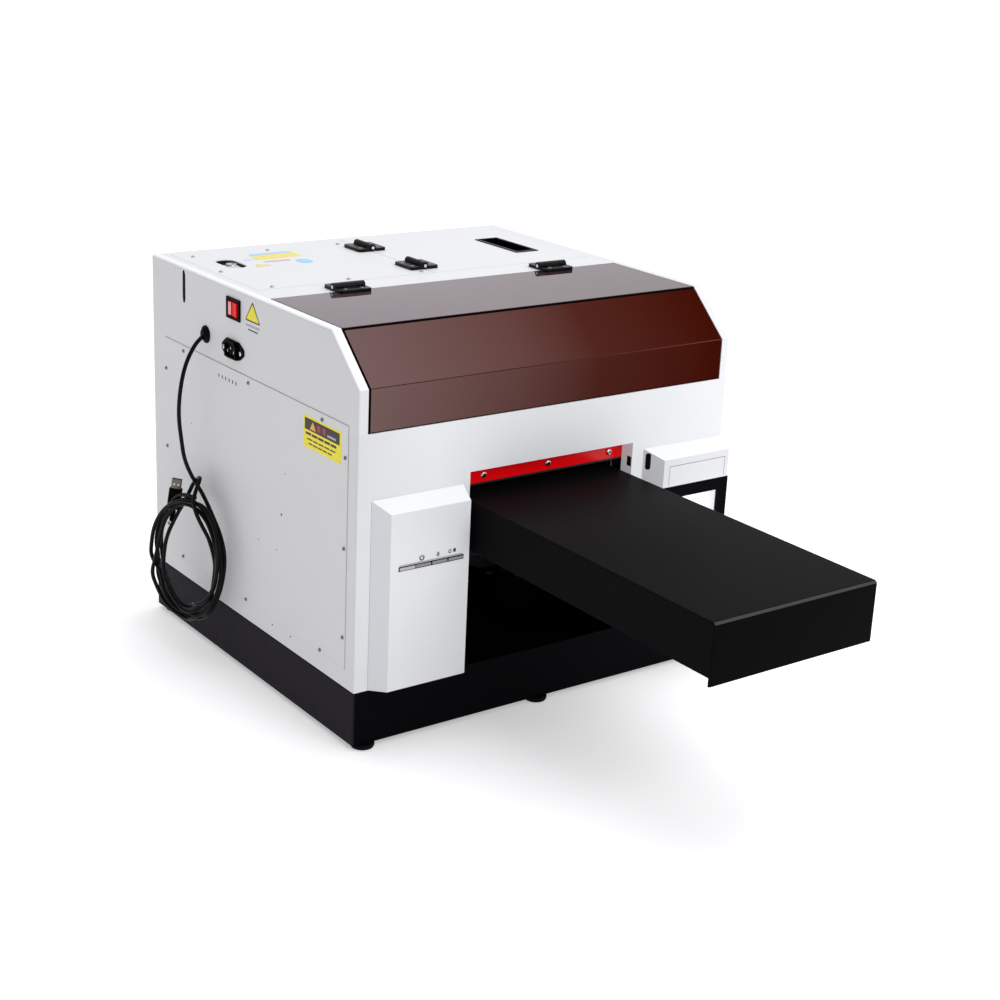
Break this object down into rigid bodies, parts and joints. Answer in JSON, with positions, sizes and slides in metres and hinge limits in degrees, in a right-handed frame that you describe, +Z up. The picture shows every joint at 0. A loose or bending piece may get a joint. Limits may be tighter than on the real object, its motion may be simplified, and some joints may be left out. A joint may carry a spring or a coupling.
{
  "type": "flatbed uv printer",
  "caption": "Desktop flatbed UV printer: white casing on a black base, tinted hinged hood, sliding black bed, side switch, mains inlet and hanging data lead.",
  "frame": {"origin": "on the floor, under the middle of the machine with its bed run out", "axes": "+X to the right seen from the front, +Y to the rear, +Z up"},
  "size_m": [0.5746, 0.87, 0.47],
  "materials": {
    "white_sheet": "satin powder coat",
    "grey_white_sheet": "satin powder coat",
    "black_sheet": "matte powder coat",
    "red_paint": "gloss paint",
    "brown_acrylic": "gloss tinted acrylic",
    "bright_steel": "bright zinc",
    "black_plastic": "matte moulded",
    "red_plastic": "gloss moulded",
    "silver_plastic": "satin silver",
    "rubber": "moulded",
    "ground_steel": "ground",
    "aluminium": "machined",
    "dark_steel": "matte",
    "circuit_board": "solder mask",
    "tank_plastic": "clear moulded",
    "cable_sheath": "satin sheath"
  },
  "bodies": {
    "chassis": {"base_tray": "black_sheet", "button_trim": "silver_plastic", "cable_gland": "rubber", "capping_station": "black_plastic", "carriage_belt": "rubber", "carriage_motor": "dark_steel", "control_pod": "white_sheet", "front_panel": "white_sheet", "guide_rods": "ground_steel", "guide_shaft": "ground_steel", "hinge_pins": "bright_steel", "hood_hinge_fixed": "black_plastic", "ink_bay_frame": "black_sheet", "ink_pod": "white_sheet", "ink_shelf": "dark_steel", "ink_tanks": "tank_plastic", "inlet_pins": "bright_steel", "left_access_cover": "grey_white_sheet", "left_side_panel": "grey_white_sheet", "lid_hinge_fixed": "black_plastic", "lift_belt": "rubber", "lift_motor": "dark_steel", "main_board": "circuit_board", "mains_inlet": "black_plastic", "mechanism_frame": "dark_steel", "panel_screws": "bright_steel", "power_supply": "aluminium", "rear_panel": "grey_white_sheet", "red_strip": "red_paint", "right_access_cover": "grey_white_sheet", "right_side_panel": "grey_white_sheet", "rocker_bezel": "black_plastic", "rubber_feet": "rubber", "top_frame": "white_sheet", "top_plate": "white_sheet", "usb_coil": "cable_sheath", "usb_cord": "cable_sheath", "usb_plug": "black_plastic", "waste_ink_tank": "tank_plastic"},
    "hood": {"hood": "brown_acrylic", "hood_hinge_moving": "black_plastic"},
    "lid": {"top_lid": "white_sheet", "lid_pull_bezel": "black_plastic", "lid_hinge_moving": "black_plastic"},
    "power_key": {"power_button": "silver_plastic"},
    "ink_key": {"ink_button": "silver_plastic"},
    "paper_key": {"paper_button": "silver_plastic"},
    "rocker": {"rocker": "red_plastic"},
    "lift": {"lift_table": "dark_steel", "bed_rails": "ground_steel"},
    "bed": {"bed_tray": "black_sheet", "bed_carriage": "dark_steel"},
    "left_screw": {"left_lead_screw": "ground_steel"},
    "right_screw": {"right_lead_screw": "ground_steel"},
    "carriage": {"print_carriage": "black_plastic", "ink_dampers": "tank_plastic", "print_head": "dark_steel", "uv_lamp": "aluminium"},
    "drive_wheel": {"drive_pulley": "aluminium"},
    "idler_wheel": {"idler_pulley": "aluminium"}
  },
  "joints": [
    {"name": "hood_hinge", "type": "hinge", "parent": "chassis", "child": "hood", "pos_m": [0, 0.168, 0.4655], "axis": [-1, 0, 0], "range_deg": [0, 100]},
    {"name": "lid_hinge", "type": "hinge", "parent": "chassis", "child": "lid", "pos_m": [0.002, 0, 0.4655], "axis": [0, -1, 0], "range_deg": [0, 105]},
    {"name": "power_press", "type": "slide", "parent": "chassis", "child": "power_key", "axis": [0, 1, 0], "range_m": [0, 0.0012], "stiffness_N_per_m": 300, "springref_m": -0.001},
    {"name": "ink_press", "type": "slide", "parent": "chassis", "child": "ink_key", "axis": [0, 1, 0], "range_m": [0, 0.0012], "stiffness_N_per_m": 300, "springref_m": -0.001},
    {"name": "paper_press", "type": "slide", "parent": "chassis", "child": "paper_key", "axis": [0, 1, 0], "range_m": [0, 0.0012], "stiffness_N_per_m": 300, "springref_m": -0.001},
    {"name": "rocker_tilt", "type": "hinge", "parent": "chassis", "child": "rocker", "pos_m": [-0.256, 0.2245, 0.4376], "axis": [0, 0, 1], "range_deg": [0, 16]},
    {"name": "bed_lift", "type": "slide", "parent": "chassis", "child": "lift", "axis": [0, 0, 1], "range_m": [-0.11, 0]},
    {"name": "bed_slide", "type": "slide", "parent": "lift", "child": "bed", "axis": [0, 1, 0], "range_m": [0, 0.395]},
    {"name": "left_screw_turn", "type": "hinge", "parent": "chassis", "child": "left_screw", "pos_m": [-0.137, 0.2, 0.1], "axis": [0, 0, 1], "range_deg": [-4951, 0.5]},
    {"name": "right_screw_turn", "type": "hinge", "parent": "chassis", "child": "right_screw", "pos_m": [0.1414, 0.2, 0.1], "axis": [0, 0, 1], "range_deg": [-4951, 0.5]},
    {"name": "carriage_slide", "type": "slide", "parent": "chassis", "child": "carriage", "axis": [1, 0, 0], "range_m": [-0.33, 0]},
    {"name": "drive_turn", "type": "hinge", "parent": "chassis", "child": "drive_wheel", "pos_m": [-0.218, 0.063, 0.312], "axis": [0, 1, 0], "range_deg": [-2364.45, 0.5]},
    {"name": "idler_turn", "type": "hinge", "parent": "chassis", "child": "idler_wheel", "pos_m": [0.218, 0.063, 0.312], "axis": [0, 1, 0], "range_deg": [-2364.45, 0.5]}
  ],
  "couplings": [
    {"joint": "left_screw_turn", "follows": "bed_lift", "rad_per_m": 785.4},
    {"joint": "right_screw_turn", "follows": "bed_lift", "rad_per_m": 785.4},
    {"joint": "drive_turn", "follows": "carriage_slide", "rad_per_m": 125},
    {"joint": "idler_turn", "follows": "carriage_slide", "rad_per_m": 125}
  ]
}
